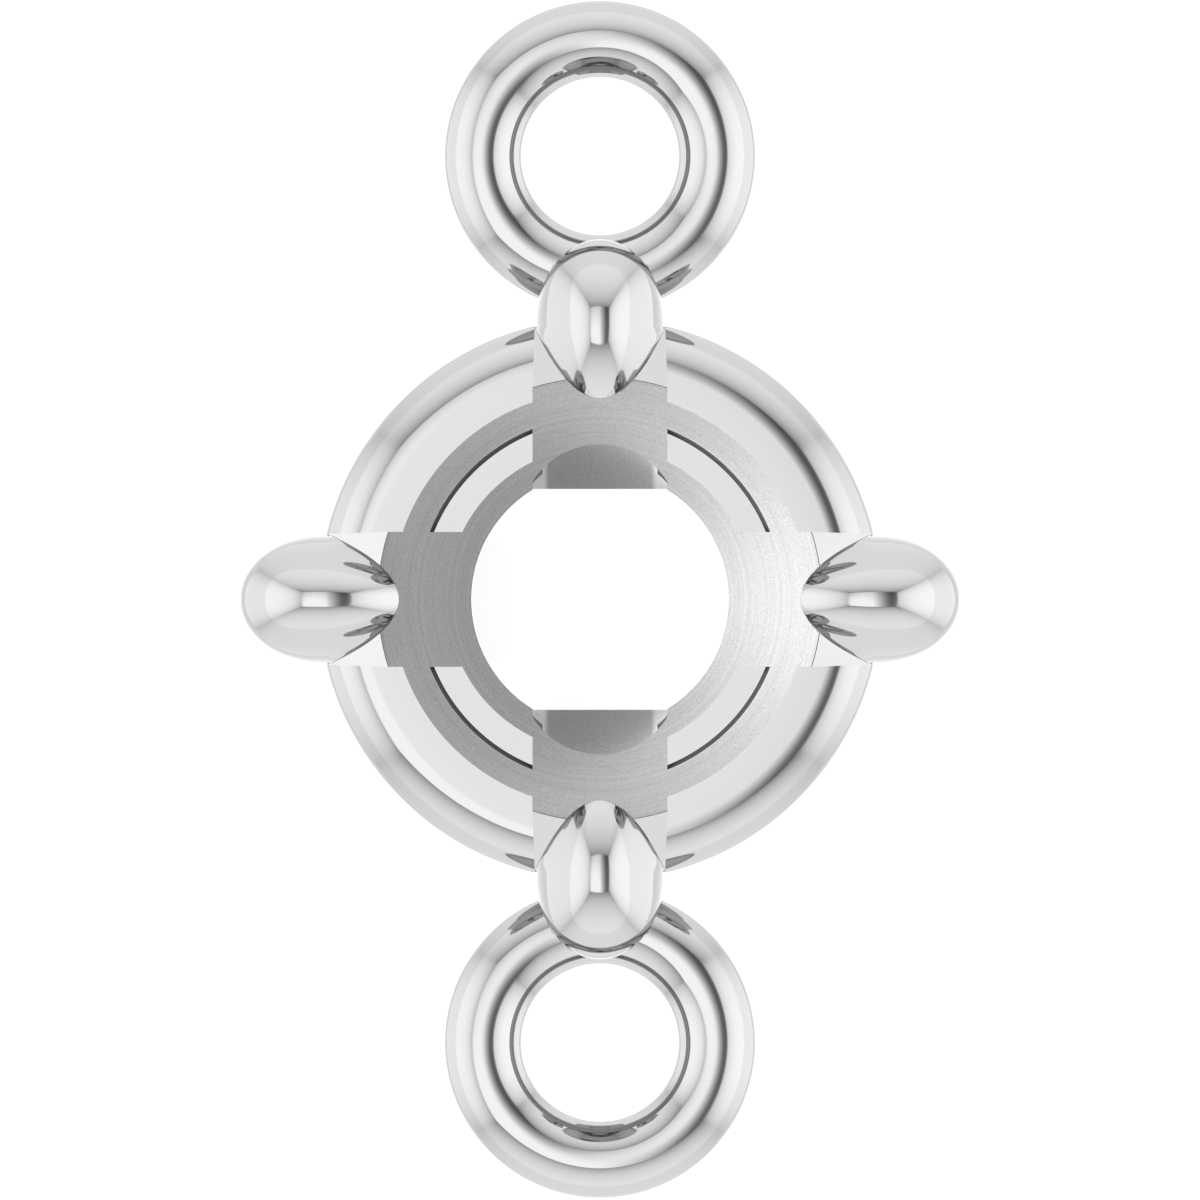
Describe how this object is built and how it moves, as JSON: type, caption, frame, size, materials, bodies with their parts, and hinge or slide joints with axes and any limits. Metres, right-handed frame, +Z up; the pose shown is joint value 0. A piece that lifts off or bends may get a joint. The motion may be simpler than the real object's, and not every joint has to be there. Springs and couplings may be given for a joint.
{
  "type": "prong link setting",
  "caption": "Open claw setting for a round stone, cast with a flat ring at either end that joins it to the next link of a bracelet or necklace.",
  "frame": {"origin": "on the surface it rests on, under the middle of the stone seat", "axes": "+Z up out of the stone seat, +Y towards an end ring, along the bracelet"},
  "size_m": [0.0048, 0.0082, 0.0024],
  "materials": {
    "white_metal": "polished, with a satin seat and satin posts inside"
  },
  "bodies": {
    "root": {"link_setting": "white_metal"}
  },
  "joints": []
}
